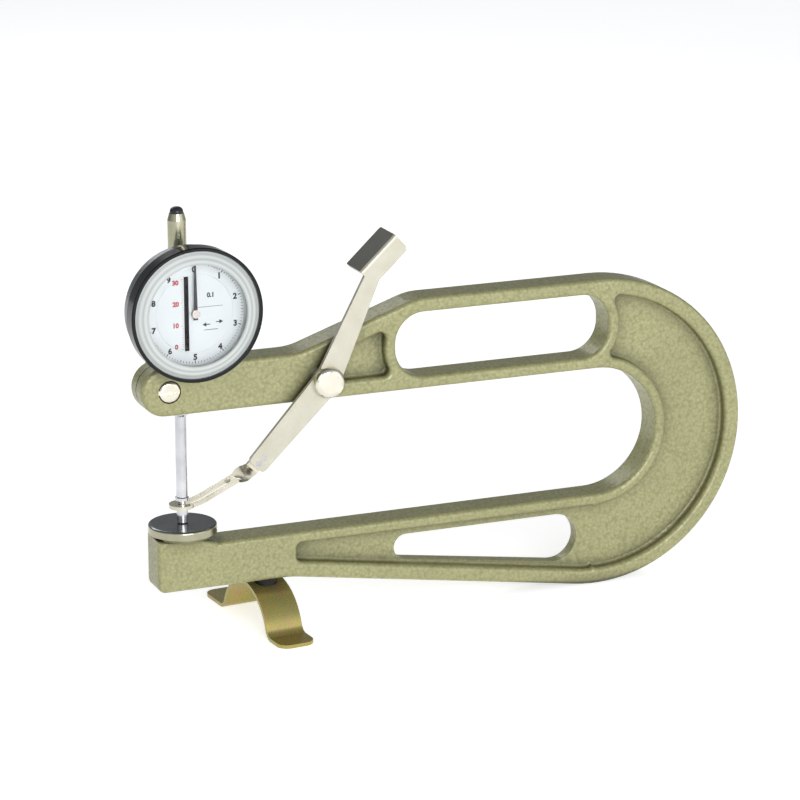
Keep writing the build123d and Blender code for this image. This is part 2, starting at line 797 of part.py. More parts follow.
def make_return_spring():
    pitch = (spring_length - spring_wire) / spring_turns
    mean_r = (spring_d - spring_wire) / 2
    path = Helix(pitch=pitch, height=pitch * spring_turns, radius=mean_r)
    section = Plane(origin=path @ 0, z_dir=path % 0) * Circle(spring_wire / 2)
    coil = sweep(section, path=path)
    return Pos(spring_x, spring_y, spring_bottom + spring_wire / 2) * coil


def make_rack_pinion():
    """Arbor turned by the rack; its wheel drives the idler."""
    body = slab(gear_face(pinion_teeth, pinion_r, rack_addendum, rack_dedendum, tooth_share, 180),
                -pinion_width / 2, pinion_width / 2)
    body += rod_y(0, 0, arbor_d / 2, front_plate_y - plate_thick, drum_back - 0.6)
    return Pos(pinion_x, 0, pinion_z) * body


def idler_direction():
    """Direction from the drive wheel's centre to the idler's, in degrees."""
    return degrees(atan2(idler_z - pinion_z, idler_x - pinion_x))


def make_drive_wheel():
    wheel = slab(train_face(drive_teeth, idler_direction()), drive_y - gear_width, drive_y)
    wheel -= rod_y(0, 0, arbor_d / 2 + fit_gap, drive_y - gear_width, drive_y)
    for turn in range(5):
        hole = Rot(0, 0, 72 * turn) * Pos(drive_r * 0.55, 0) * Circle(1.3)
        wheel -= slab(hole, drive_y - gear_width, drive_y)
    return Pos(pinion_x, 0, pinion_z) * wheel


def make_idler():
    """Idler pinion, long enough to mesh with the drive wheel and the centre pinion."""
    tooth = 360 / small_teeth
    phase = idler_direction() + 180 + tooth / 2
    body = slab(train_face(small_teeth, phase), centre_gear_y - gear_width, drive_y)
    body += rod_y(0, 0, arbor_d / 2, front_plate_y - plate_thick, rear_plate_y)
    return Pos(idler_x, 0, idler_z) * body


def make_centre_pinion():
    tooth = 360 / small_teeth
    idler_phase = idler_direction() + 180 + tooth / 2
    toward_centre = 180 + idler_angle
    slip = (toward_centre - idler_phase) % tooth
    phase = idler_angle + tooth / 2 + slip
    body = slab(train_face(small_teeth, phase), centre_gear_y - gear_width, centre_gear_y)
    body += rod_y(0, 0, arbor_d / 2, dial_front - needle_lift, rear_plate_y)
    return Pos(0, 0, dial_z) * body


def make_needle():
    front = dial_front - needle_lift
    blade = Polygon((-needle_root_width / 2, -needle_tail), (needle_root_width / 2, -needle_tail),
                    (needle_tip_width / 2, needle_length), (-needle_tip_width / 2, needle_length),
                    align=None)
    needle = slab(blade, front, front + needle_thick)
    needle += rod_y(0, 0, needle_hub_d / 2, front - 0.5, front - 0.5 + needle_hub_thick)
    needle -= rod_y(0, 0, arbor_d / 2 + fit_gap, front, front + needle_hub_thick)
    return Pos(0, 0, dial_z) * needle


def lever_point(length, angle):
    return (pivot_x + length * cos(radians(angle)), pivot_z + length * sin(radians(angle)))


def tapered_bar(length, angle, start_width, end_width, end_corner):
    bar = Polygon((0, -start_width / 2), (length, -end_width / 2), (length, end_width / 2),
                  (0, start_width / 2), align=None)
    bar = fillet(bar.vertices().group_by(Axis.X)[-1], end_corner)
    return Pos(pivot_x, pivot_z) * Rot(0, 0, angle) * bar


def make_head():
    """Head of the lever with its thumb tab, lying along X with the arm's end at the origin."""
    low = head_rise - head_width
    back = lever_front + tab_depth
    section = Polygon((lever_front, low), (lever_back, low), (lever_back, head_rise - lever_thick),
                      (back, head_rise - lever_thick), (back, head_rise), (lever_front, head_rise),
                      align=None)
    section = round_corner(section, lever_front, head_rise, tab_bend_r)
    head = Pos(-head_overlap, 0, 0) * extrude(Plane.YZ * section, amount=head_length)
    ends = head.edges().filter_by(Axis.Z)
    head = fillet(face_edges(head, back) & ends, tab_corner)
    far_corner = (head_length - head_overlap, lever_back, low)
    corner = head.edges().filter_by(Axis.Y).sort_by_distance(far_corner)[0]
    return fillet(corner, head_corner)


def make_lever():
    """Flat two-armed lever whose upper arm ends in a head with a thumb tab bent back."""
    sketch = Pos(pivot_x, pivot_z) * Circle(lower_lever_root / 2)
    sketch += tapered_bar(lower_lever_length, lower_lever_angle, lower_lever_root,
                          lower_lever_end, lower_lever_corner)
    sketch += tapered_bar(upper_lever_length, upper_lever_angle, upper_lever_root,
                          upper_lever_end, tab_corner)
    lever = slab(sketch, lever_front, lever_back)
    head_x, head_z = lever_point(upper_lever_length, upper_lever_angle)
    lever += Pos(head_x, 0, head_z) * Rot(0, -head_tilt, 0) * make_head()
    lever -= rod_y(pivot_x, pivot_z, pivot_d / 2 + run_gap, lever_front, lever_back)
    for x, z in rivet_points():
        lever -= rod_y(x, z, rivet_d / 2 + fit_gap, lever_front, lever_back)
    return lever


def rivet_points():
    places = (rivet_inset, rivet_inset + rivet_pitch)
    return [lever_point(lower_lever_length - place, lower_lever_angle) for place in places]


def twist_sections():
    """Cross-sections of the quarter twist between the level blade and the lever's plane."""
    bend = radians(blade_bend)
    arc_end_x = -blade_bend_start + blade_bend_r * sin(bend)
    blade_end_z = blade_height + blade_bend_r * (1 - cos(bend)) + (blade_end_x - arc_end_x) * tan(bend)
    tail_x, tail_z = lever_point(lower_lever_length + tail_reach, lower_lever_angle)
    first = Vector(blade_end_x, 0, blade_end_z)
    last = Vector(tail_x, (lever_back + tail_back) / 2, tail_z)
    sections = []
    for step in range(twist_steps + 1):
        share = step / twist_steps
        turn = share * pi / 2
        rise = bend + (radians(lower_lever_angle - 180) - bend) * share
        across = Vector(0, cos(turn), 0) + Vector(-sin(rise), 0, cos(rise)) * sin(turn)
        width = blade_width + (tail_width - blade_width) * share
        plane = Plane(first + (last - first) * share, x_dir=across, z_dir=(cos(rise), 0, sin(rise)))
        sections.append(plane * Rectangle(width, blade_thick))
    return sections


def make_fork_blade():
    """Thin blade: an eye with a long slot round the neck, a twist and a riveted tail."""
    bend = radians(blade_bend)
    eye_r = eye_d / 2
    arc_end_x = -blade_bend_start + blade_bend_r * sin(bend)
    moves = ((eye_r - blade_bend_start, 0), (blade_bend_r * bend, blade_bend),
             ((blade_end_x - arc_end_x) / cos(bend), 0))
    side = Pos(-eye_r, blade_height) * bent_strip(moves, blade_thick)
    blade = slab(side, -eye_r, eye_r)
    plan = Circle(eye_r) + Pos(blade_end_x / 2 + 1, 0) * Rectangle(blade_end_x + 2, blade_width)
    plan -= Pos(fork_slide / 2, 0) * SlotCenterToCenter(fork_slide, neck_d + 2 * neck_room)
    blade = blade & extrude(plan, amount=40)
    blade += loft(twist_sections())
    tail = Pos(pivot_x, pivot_z) * Rot(0, 0, lower_lever_angle) * Pos(lower_lever_length, 0)
    tail *= Pos((tail_reach - tail_lap) / 2, 0) * Rectangle(tail_lap + tail_reach, tail_width)
    blade += slab(tail, lever_back, tail_back)
    for x, z in rivet_points():
        blade -= rod_y(x, z, rivet_d / 2 + fit_gap, lever_back, tail_back)
    return blade


def make_fork_rivets():
    rivets = []
    for x, z in rivet_points():
        shank = rod_y(x, z, rivet_d / 2, lever_front, tail_back)
        head = rod_y(x, z, rivet_head_d / 2, tail_back, tail_back + rivet_head_thick)
        rivets.append(shank + head)
    return Compound(rivets)


def make_pivot_stud():
    """Shoulder stud with a broad slotted head in front of the lever."""
    head_back = lever_front - side_gap
    head_front = head_back - pivot_head_thick
    stud = rod_y(pivot_x, pivot_z, pivot_head_d / 2, head_front, head_back)
    stud = fillet(face_edges(stud, head_front), pivot_dome)
    cutter = Box(pivot_head_d + 1, 2 * pivot_slot_depth, pivot_slot_width)
    slot = Pos(pivot_x, head_front, pivot_z) * Rot(0, pivot_slot_turn, 0) * cutter
    stud = stud - slot + rod_y(pivot_x, pivot_z, pivot_d / 2, head_back, -half_thick)
    return stud + rod_y(pivot_x, pivot_z, pivot_thread_d / 2, -half_thick, half_thick)


def make_pivot_washer():
    washer = rod_y(pivot_x, pivot_z, washer_d / 2, washer_front, -half_thick)
    return washer - rod_y(pivot_x, pivot_z, pivot_d / 2 + fit_gap, washer_front, -half_thick)


pieces = {
    "frame": make_frame,
    "anvil": make_anvil,
    "anvil_set_screw": make_set_screw,
    "foot": make_foot,
    "foot_spacer": make_foot_spacer,
    "foot_washer": make_foot_washer,
    "foot_screw": make_foot_screw,
    "clamp_screw": make_clamp_screw,
    "stem": make_stem,
    "indicator_case": make_case,
    "back_cover": make_back_cover,
    "cover_screws": make_cover_screws,
    "top_tube": make_top_tube,
    "bezel": make_bezel,
    "crystal": make_crystal,
    "scale_ring": make_scale_ring,
    "dial_plate": make_dial_plate,
    "front_plate": make_front_plate,
    "rear_plate": make_rear_plate,
    "plate_posts": make_posts,
    "plunger": make_plunger,
    "lift_spool": make_lift_spool,
    "contact_tip": make_contact_tip,
    "top_knob": make_top_knob,
    "index_carrier": make_carrier,
    "travel_index": make_travel_index,
    "return_spring": make_return_spring,
    "rack_pinion": make_rack_pinion,
    "drive_wheel": make_drive_wheel,
    "idler_pinion": make_idler,
    "centre_pinion": make_centre_pinion,
    "needle": make_needle,
    "lever": make_lever,
    "fork_blade": make_fork_blade,
    "fork_rivets": make_fork_rivets,
    "pivot_stud": make_pivot_stud,
    "pivot_washer": make_pivot_washer,
}

os.makedirs("parts", exist_ok=True)
for name, make in pieces.items():
    shape = make()
    shape.label = name
    export_step(shape, f"parts/{name}.step")
    print(name, round(shape.volume, 2))
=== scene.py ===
# %% [markdown]
# # A deep-throat dial thickness gauge
# This lesson dresses a mechanical model in materials, prints its dial and lights it
# as a product photograph. The shapes of the metal parts come from the CAD frame,
# so nothing here changes a dimension: it adds print, finishes, a floor and light.

# %% Load the frame
import bpy
import numpy as np
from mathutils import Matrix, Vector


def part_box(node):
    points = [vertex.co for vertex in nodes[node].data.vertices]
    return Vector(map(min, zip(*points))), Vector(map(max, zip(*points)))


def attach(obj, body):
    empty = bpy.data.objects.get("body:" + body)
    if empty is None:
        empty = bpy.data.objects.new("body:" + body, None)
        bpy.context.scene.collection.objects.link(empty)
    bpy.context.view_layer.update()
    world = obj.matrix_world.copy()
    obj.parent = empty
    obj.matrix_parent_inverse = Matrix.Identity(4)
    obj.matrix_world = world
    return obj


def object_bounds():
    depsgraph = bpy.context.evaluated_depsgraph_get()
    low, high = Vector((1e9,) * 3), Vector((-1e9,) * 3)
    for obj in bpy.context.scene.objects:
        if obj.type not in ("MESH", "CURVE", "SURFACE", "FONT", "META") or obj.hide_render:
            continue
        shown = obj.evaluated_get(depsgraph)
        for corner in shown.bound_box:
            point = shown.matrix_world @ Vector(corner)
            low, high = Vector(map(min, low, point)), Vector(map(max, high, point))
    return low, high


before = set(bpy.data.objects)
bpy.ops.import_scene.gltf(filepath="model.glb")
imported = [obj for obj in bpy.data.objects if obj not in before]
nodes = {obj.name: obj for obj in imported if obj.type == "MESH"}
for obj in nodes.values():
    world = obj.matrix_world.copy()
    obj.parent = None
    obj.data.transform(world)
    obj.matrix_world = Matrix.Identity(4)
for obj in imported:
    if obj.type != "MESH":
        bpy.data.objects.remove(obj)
cad_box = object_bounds()

# %% [markdown]
# ## Units and colours
# The scene is in metres, and the sizes of a dial are easier to read in millimetres,
# so one constant converts between them.
# Colours are written as sRGB hex codes, the way a colour chart gives them.
# A shader works on linear light, so one function converts each code once.

# %% Units and colours
MM = 0.001
dial_low, dial_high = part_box("scale_ring")
DIAL_FRONT = dial_low[1]
DIAL_Z = (dial_low[2] + dial_high[2]) / 2


def linear(code):
    """Linear RGBA of an sRGB hex code.

    Each channel c below 0.04045 is c / 12.92, and above it is
    ((c + 0.055) / 1.055) raised to the power 2.4.
    """
    srgb = np.array([int(code[i:i + 2], 16) for i in (1, 3, 5)]) / 255
    low = srgb / 12.92
    high = ((srgb + 0.055) / 1.055) ** 2.4
    return (*np.where(srgb <= 0.04045, low, high), 1.0)


# %% [markdown]
# ## Building shaders
# A procedural material is a small graph of nodes. One function adds a node,
# sets its fields, fills its sockets and links the sockets that are fed by other nodes,
# so each material below reads as a recipe.

# %% Shader helpers
class Shader:
    """A material under construction, with its graph and its principled surface."""

    def __init__(self, name):
        self.material = bpy.data.materials.new(name)
        self.material.use_nodes = True
        self.tree = self.material.node_tree
        self.surface = self.tree.nodes["Principled BSDF"]
        self.coords = self.add("ShaderNodeTexCoord").outputs["Object"]

    def add(self, kind, fields=None, **sockets):
        """Add a node; a socket given as another node's output is linked to it."""
        node = self.tree.nodes.new(kind)
        for field, value in (fields or {}).items():
            setattr(node, field, value)
        for key, value in sockets.items():
            self.feed(node.inputs[key.replace("_", " ")], value)
        return node

    def feed(self, socket, value):
        if isinstance(value, bpy.types.NodeSocket):
            self.tree.links.new(value, socket)
        else:
            socket.default_value = value

    def set(self, **sockets):
        for key, value in sockets.items():
            self.feed(self.surface.inputs[key.replace("_", " ")], value)

    def math(self, operation, *values):
        node = self.add("ShaderNodeMath", {"operation": operation})
        for socket, value in zip(node.inputs, values):
            self.feed(socket, value)
        return node.outputs[0]

    def noise(self, size_mm, detail=3.0, stretch=(1, 1, 1)):
        """Noise whose lumps are size_mm across, stretched along the axes given."""
        scale = tuple(1 / (MM * size_mm * s) for s in stretch)
        place = self.add("ShaderNodeMapping", Vector=self.coords, Scale=scale)
        noise = self.add("ShaderNodeTexNoise", Vector=place.outputs[0], Scale=1.0, Detail=detail)
        return noise.outputs["Fac"]

    def span(self, value, low, high, start=0.3, end=0.7):
        """Map a value between start and end onto low to high."""
        fields = {"clamp": True}
        sockets = {"From_Min": start, "From_Max": end, "To_Min": low, "To_Max": high}
        return self.add("ShaderNodeMapRange", fields, Value=value, **sockets).outputs[0]

    def mix(self, share, first, second):
        node = self.add("ShaderNodeMix", {"data_type": "RGBA"})
        self.feed(node.inputs[0], share)
        self.feed(node.inputs[6], first)
        self.feed(node.inputs[7], second)
        return node.outputs[2]

    def bump(self, height, depth_mm):
        node = self.add("ShaderNodeBump", Strength=1.0, Distance=depth_mm * MM, Height=height)
        self.set(Normal=node.outputs[0])

    def dial_radius(self):
        """Distance of a point from the dial's axis, which runs along Y at the height DIAL_Z."""
        offset = self.add("ShaderNodeVectorMath", {"operation": "SUBTRACT"})
        self.feed(offset.inputs[0], self.coords)
        self.feed(offset.inputs[1], (0.0, 0.0, DIAL_Z))
        flat = self.add("ShaderNodeVectorMath", {"operation": "MULTIPLY"})
        self.feed(flat.inputs[0], offset.outputs[0])
        self.feed(flat.inputs[1], (1.0, 0.0, 1.0))
        length = self.add("ShaderNodeVectorMath", {"operation": "LENGTH"})
        self.feed(length.inputs[0], flat.outputs[0])
        return length.outputs["Value"]

    def openness(self, reach_mm, inside=False):
        """One in the open, falling towards zero in a groove, or inside the solid by an edge."""
        fields = {"samples": 8, "inside": inside}
        node = self.add("ShaderNodeAmbientOcclusion", fields, Distance=reach_mm * MM)
        return node.outputs["AO"]


# %% [markdown]
# ## The cast frame
# The casting is sprayed with hammertone enamel. As the enamel dries, it draws into
# shallow cells a little over a millimetre across, with rims that are slightly darker.
# A finer noise shifts the cells by up to WAVER_REACH, so that they aren't regular.
# Grooves and crevices are darkened towards a dark olive by how enclosed they are: painted shade.
# The enamel is thin and a little lighter along the edges.

# %% Hammertone enamel
CELLS_PER_METRE = 780.0
WAVER_PER_METRE = 420.0
WAVER_REACH = 1.4 * MM
EDGE_REACH = 1.6
GROOVE_SHADE_REACH = 8.0


def hammertone(name, face, rim, groove):
    paint = Shader(name)
    waver = paint.add("ShaderNodeTexNoise", Vector=paint.coords, Scale=WAVER_PER_METRE, Detail=2.0)
    drift = paint.add("ShaderNodeVectorMath", {"operation": "SCALE"}, Scale=WAVER_REACH)
    paint.feed(drift.inputs[0], waver.outputs["Color"])
    spot = paint.add("ShaderNodeVectorMath", {"operation": "ADD"})
    paint.feed(spot.inputs[0], paint.coords)
    paint.feed(spot.inputs[1], drift.outputs[0])
    place = {"Vector": spot.outputs[0], "Scale": CELLS_PER_METRE}
    cells = paint.add("ShaderNodeTexVoronoi", {"feature": "SMOOTH_F1"}, **place)
    cell = paint.span(cells.outputs["Distance"], 0.0, 1.0, 0.15, 0.75)
    cloud = paint.span(paint.noise(28.0), 0.0, 1.0)
    tone = paint.mix(paint.math("MULTIPLY", cell, 0.8), linear(face), linear(rim))
    tone = paint.mix(paint.math("MULTIPLY", cloud, 0.3), tone, linear(rim))
    edge = paint.span(paint.openness(EDGE_REACH, inside=True), 0.12, 0.0, 0.35, 0.8)
    tone = paint.mix(edge, tone, linear("#C9C8A0"))
    # painted shade: grooves and crevices are darkened by ambient occlusion towards the groove colour
    depth = paint.span(paint.openness(GROOVE_SHADE_REACH), 0.95, 0.0, 0.4, 0.96)
    tone = paint.mix(depth, tone, linear(groove))
    paint.set(Base_Color=tone, Metallic=0.15, Roughness=paint.span(cell, 0.34, 0.48, 0.0, 1.0))
    paint.set(Coat_Weight=0.2, Coat_Roughness=0.15)
    paint.bump(cells.outputs["Distance"], 0.12)
    return paint.material


# %% [markdown]
# ## Bare and plated metal
# Polished, ground and plated parts share one recipe: a metal whose tone drifts over
# centimetres, with fine scratches drawn out along the direction of polishing. The
# anvil's measuring face lies at the height zero, and its side is told apart from it by
# the height LAPPED_EDGE in millimetres; the side is painted a lighter olive than the face,
# a painted reflection.

# %% Metals
LAPPED_EDGE = -0.35


def metal(name, light, dark, rough, grain=(1, 1, 1), scratch_mm=0.25, depth_mm=0.004):
    """A metal; grain stretches its scratches along the axis with the largest number."""
    steel = Shader(name)
    drift = steel.span(steel.noise(12.0), 0.0, 1.0)
    scratch = steel.noise(scratch_mm, 4.0, grain)
    tone = steel.mix(drift, linear(light), linear(dark))
    wipe = steel.span(steel.noise(5.0), -0.05, 0.05)
    roughness = steel.math("ADD", steel.span(scratch, rough * 0.75, rough * 1.25), wipe)
    steel.set(Base_Color=tone, Metallic=1.0, Roughness=roughness)
    steel.bump(scratch, depth_mm)
    return steel.material


def lapped(name):
    """Steel whose top face is darker than its side, told apart by height; the side's lighter olive
    tone is a painted reflection.
    """
    disc = Shader(name)
    height = disc.add("ShaderNodeSeparateXYZ", Vector=disc.coords).outputs["Z"]
    top = disc.span(height, 0.0, 1.0, (LAPPED_EDGE - 0.1) * MM, (LAPPED_EDGE + 0.1) * MM)
    cloud = disc.span(disc.noise(9.0), 0.0, 1.0)
    face = disc.mix(cloud, linear("#7E8283"), linear("#6C7071"))
    # painted reflection: the side is given a lighter, olive tone than the face
    side = disc.mix(cloud, linear("#AEAB94"), linear("#A09D88"))
    grain = disc.noise(0.2, 4.0)
    disc.set(Base_Color=disc.mix(top, side, face), Metallic=1.0)
    disc.set(Roughness=disc.span(grain, 0.15, 0.25))
    disc.bump(grain, 0.002)
    return disc.material


def passivated(name):
    """Zinc with a yellow chromate film, whose thickness shows as faint pink and green."""
    zinc = Shader(name)
    film = zinc.span(zinc.noise(9.0, 2.0), 0.0, 1.0)
    patch = zinc.span(zinc.noise(5.0, 2.0, (1, 2, 1)), 0.0, 1.0, 0.45, 0.7)
    tone = zinc.mix(film, linear("#A99C56"), linear("#98945C"))
    tone = zinc.mix(zinc.math("MULTIPLY", patch, 0.5), tone, linear("#B08A6A"))
    scratch = zinc.noise(0.3, 4.0, (1, 6, 1))
    zinc.set(Base_Color=tone, Metallic=0.7, Roughness=zinc.span(scratch, 0.24, 0.36))
    zinc.bump(scratch, 0.002)
    return zinc.material


# %% [markdown]
# ## Lever
# The lever is nickel plated with a satin surface. The top of its thumb tab is painted a
# dark grey as painted shade. The tab lies at a tilt in degrees, so its top is found by turning the
# coordinates by the same angle and keeping what lies within a tenth of a millimetre of
# the tab's upper face. ARM_END is the x and z in millimetres from which that face is
# measured, and TAB_LEVEL its height above that point.

# %% Lever
ARM_END = (84.09, 105.04)
TAB_TILT = 43.1
TAB_LEVEL = 5.6


def lever_nickel(name):
    nickel = Shader(name)
    tilt = np.radians(TAB_TILT)
    across = (-np.sin(tilt) / MM, 0.0, np.cos(tilt) / MM)
    height = nickel.add("ShaderNodeVectorMath", {"operation": "DOT_PRODUCT"})
    nickel.feed(height.inputs[0], nickel.coords)
    nickel.feed(height.inputs[1], across)
    level = -ARM_END[0] * np.sin(tilt) + ARM_END[1] * np.cos(tilt) + TAB_LEVEL
    above = nickel.math("SUBTRACT", height.outputs["Value"], level)
    top = nickel.span(above, 0.0, 1.0, -0.10, -0.04)
    cloud = nickel.span(nickel.noise(10.0), 0.0, 1.0)
    grain = nickel.noise(0.35, 4.0)
    satin = nickel.mix(cloud, linear("#C4C1B3"), linear("#B8B5A4"))
    satin = nickel.mix(nickel.span(grain, 0.0, 0.25), satin, linear("#A9A696"))
    # painted shade: the upper face of the thumb tab is coloured dark grey
    painted_tab_shade = nickel.mix(nickel.span(grain, 0.0, 1.0), linear("#1E1F18"), linear("#55564A"))
    nickel.set(Base_Color=nickel.mix(top, satin, painted_tab_shade), Metallic=0.55)
    nickel.set(Roughness=nickel.span(grain, 0.34, 0.50))
    nickel.bump(grain, 0.02)
    return nickel.material


# %% [markdown]
# ## Enamel, plastic and glass
# Gloss enamel carries a very faint orange peel. The crystal is clear acrylic, and its
# bevel is painted a light grey with rings, a painted refraction of the bright surroundings.
# BEVEL_RADIUS is where the bevel starts and CAP_RADIUS where the pointer's cap ends, both in
# millimetres from the dial's axis.

# %% Enamel, plastic and crystal
BEVEL_RADIUS = 21.8
RING_SCALE = 300.0
CAP_RADIUS = 1.8


def enamel(name, light, dark, rough=0.12, peel_mm=1.6, depth_mm=0.006):
    coat = Shader(name)
    peel = coat.noise(peel_mm, 2.0)
    cloud = coat.span(coat.noise(15.0), 0.0, 1.0)
    coat.set(Base_Color=coat.mix(cloud, linear(light), linear(dark)))
    coat.set(Roughness=coat.span(coat.noise(6.0), rough * 0.8, rough * 1.3))
    coat.set(Specular_IOR_Level=0.25, Coat_Weight=0.05)
    coat.bump(peel, depth_mm)
    return coat.material


def acrylic(name):
    """Clear acrylic, with a light grey bevel of painted refraction, which lies beyond a radius about
    the dial's axis.
    """
    clear = Shader(name)
    dust = clear.span(clear.noise(3.0), 0.0, 0.02, 0.4, 0.8)
    radius = clear.dial_radius()
    bevel = clear.span(radius, 0.0, 1.0, (BEVEL_RADIUS - 0.1) * MM, (BEVEL_RADIUS + 0.1) * MM)
    lines = clear.add("ShaderNodeTexWave", {"wave_profile": "SIN"}, Scale=0.5)
    clear.feed(lines.inputs["Vector"], clear.math("MULTIPLY", radius, RING_SCALE))
    # painted refraction: the bevel is given a light grey colour with rings and less transmission
    satin = clear.mix(clear.span(lines.outputs["Fac"], 0.0, 0.5, 0.2, 1.0),
                      linear("#CDD2D0"), linear("#8E9391"))
    clear.set(Base_Color=clear.mix(bevel, linear("#FFFFFF"), satin), IOR=1.25)
    clear.set(Transmission_Weight=clear.math("SUBTRACT", 1.0, clear.math("MULTIPLY", bevel, 0.8)))
    clear.set(Roughness=clear.math("ADD", dust, clear.math("MULTIPLY", bevel, 0.3)))
    return clear.material


def pointer(name):
    """Black lacquer on the pointer's blade, and a bare bright cap on its hub."""
    blade = Shader(name)
    radius = blade.dial_radius()
    cap = blade.span(radius, 1.0, 0.0, (CAP_RADIUS - 0.05) * MM, (CAP_RADIUS + 0.05) * MM)
    speck = blade.span(blade.noise(0.8), 0.0, 1.0)
    black = blade.mix(speck, linear("#15171A"), linear("#202328"))
    bright = blade.mix(speck, linear("#D2CBC6"), linear("#BDB2AE"))
    blade.set(Base_Color=blade.mix(cap, black, bright), Metallic=cap, Roughness=0.35)
    return blade.material


def dial_paper(name, light, dark):
    card = Shader(name)
    fibre = card.noise(0.6, 4.0)
    cloud = card.span(card.noise(14.0), 0.0, 1.0)
    card.set(Base_Color=card.mix(cloud, linear(light), linear(dark)))
    card.set(Roughness=card.span(fibre, 0.42, 0.58))
    card.bump(fibre, 0.002)
    return card.material


# %% [markdown]
# ## Giving each part its finish
# Each CAD node keeps its shape. Only its material slot is filled.

# %% Finishes
finishes = {
    # the last hammertone colour is the painted shade laid into the frame's grooves
    "hammertone": hammertone("hammertone_enamel", "#A19F74", "#7A7A50", "#34341C"),
    "lever": lever_nickel("satin_nickel_lever_with_painted_tab_shade"),
    "nickel": metal("satin_nickel", "#D8D3C2", "#BDB8A4", 0.26),
    "bright": metal("polished_nickel", "#EDE9DC", "#D8D3C2", 0.16),
    "steel": metal("polished_steel", "#DCDCDF", "#BEBFC4", 0.14, (1, 1, 30), 0.12, 0.002),
    "turned": metal("turned_steel", "#C4C5C6", "#9FA1A5", 0.22, (1, 8, 1), 0.2),
    "anvil": lapped("lapped_steel_painted_side_reflection"),
    "tube": metal("aged_nickel", "#B4B29A", "#9A9980", 0.24, (1, 1, 12), 0.2),
    "brass": metal("rolled_brass", "#C2A264", "#A88A50", 0.28, (8, 1, 1), 0.2),
    "zinc": passivated("yellow_passivated_zinc"),
    "case": metal("grey_satin_aluminium", "#8F9396", "#787C80", 0.32, (1, 12, 1), 0.2),
    "black": enamel("black_enamel", "#0A0B0C", "#111314"),
    "pointer": pointer("pointer_lacquer"),
    # this black also serves as painted shade on the front plate and the foot spacer
    "lacquer": enamel("black_lacquer", "#0B0B0D", "#131315", 0.4, 0.8, 0.002),
    "knob": enamel("dark_phenolic", "#242428", "#303038", 0.2),
    "dial": dial_paper("printed_white_enamel", "#E4EAEB", "#DEE5E8"),
    "crystal": acrylic("clear_acrylic_with_painted_bevel"),
    "black_ink": enamel("black_ink", "#15161B", "#1D1F24", 0.5, 0.4, 0.001),
    "red_ink": enamel("red_ink", "#C23A44", "#B1323C", 0.5, 0.4, 0.001),
}
node_finish = {
    "hammertone": ("frame",),
    "lever": ("lever",),
    "nickel": ("foot_screw", "cover_screws", "fork_blade"),
    "bright": ("clamp_screw", "pivot_stud"),
    "steel": ("plunger", "stem", "lift_spool", "contact_tip"),
    "turned": ("pivot_washer", "foot_washer", "anvil_set_screw", "fork_rivets", "return_spring",
               "rack_pinion", "idler_pinion", "centre_pinion"),
    "anvil": ("anvil",),
    "tube": ("top_tube",),
    "brass": ("rear_plate", "plate_posts", "drive_wheel", "index_carrier"),
    "zinc": ("foot",),
    "case": ("indicator_case", "back_cover"),
    "black": ("bezel",),
    "pointer": ("needle",),
    # painted shade: the front plate seen through the slot and the foot spacer under the arm are
    # black for shade; the travel index is black lacquer
    "lacquer": ("front_plate", "travel_index", "foot_spacer"),
    "knob": ("top_knob",),
    "dial": ("scale_ring", "dial_plate"),
    "crystal": ("crystal",),
}
for finish, names in node_finish.items():
    for name in names:
        mesh = nodes[name].data
        mesh.materials.clear()
        mesh.materials.append(finishes[finish])

# %% [markdown]
# ## Printing the dial
# The ink stands three hundredths of a millimetre above the dial. Each printed mark
# is a thin slab; the marks of one ink on one part form one mesh, which is built from
# arrays: eight corners for each mark, and the same six faces repeated.

# %% Marks
INK = 0.03 * MM
CUBE = np.array([[0, 1, 2, 3], [7, 6, 5, 4], [0, 4, 5, 1],
                 [1, 5, 6, 2], [2, 6, 7, 3], [3, 7, 4, 0]])


def mesh_object(name, points, faces, material, body):
    """An object at the origin from an array of points in metres and a list of faces."""
    mesh = bpy.data.meshes.new(name)
    mesh.from_pydata(points.tolist(), [], faces)
    mesh.update()
    mesh.materials.append(material)
    obj = bpy.data.objects.new(name, mesh)
    bpy.context.scene.collection.objects.link(obj)
    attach(obj, body)


def slabs(corners):
    """Points and faces of thin slabs on the dial.

    corners has the shape (count, 4, 2): the x and z of each mark's corners in
    millimetres from the dial's centre, anticlockwise as the reader sees them.
    """
    corners = np.asarray(corners, float)
    count = len(corners)
    points = np.empty((count, 8, 3))
    points[:, :, 0] = np.tile(corners[:, :, 0], (1, 2)) * MM
    points[:, :, 2] = np.tile(corners[:, :, 1], (1, 2)) * MM + DIAL_Z
    points[:, :4, 1] = DIAL_FRONT - INK
    points[:, 4:, 1] = DIAL_FRONT
    faces = CUBE[None] + 8 * np.arange(count)[:, None, None]
    return points.reshape(-1, 3), faces.reshape(-1, 4).tolist()


def bars(centre_x, centre_z, width, height):
    """Corners of upright bars, from arrays of centres and sizes in millimetres."""
    centre_x, centre_z, width, height = np.broadcast_arrays(centre_x, centre_z, width, height)
    side = np.array([-1, 1, 1, -1]) / 2
    rise = np.array([-1, -1, 1, 1]) / 2
    x = centre_x[:, None] + width[:, None] * side
    z = centre_z[:, None] + height[:, None] * rise
    return np.stack([x, z], axis=2)


def spokes(angles, inner, outer, width):
    """Corners of radial marks; the angle runs clockwise from the top, in radians."""
    upright = bars(np.zeros(len(angles)), (inner + outer) / 2, width, outer - inner)
    turn = np.stack([np.cos(angles), np.sin(angles)], axis=1)
    x = upright[:, :, 0] * turn[:, :1] + upright[:, :, 1] * turn[:, 1:]
    z = upright[:, :, 1] * turn[:, :1] - upright[:, :, 0] * turn[:, 1:]
    return np.stack([x, z], axis=2)


# %% [markdown]
# The scale has a hundred divisions for one turn of the needle. Every fifth mark is
# longer and every tenth is longer still and wider. The marks end just inside the bevel.

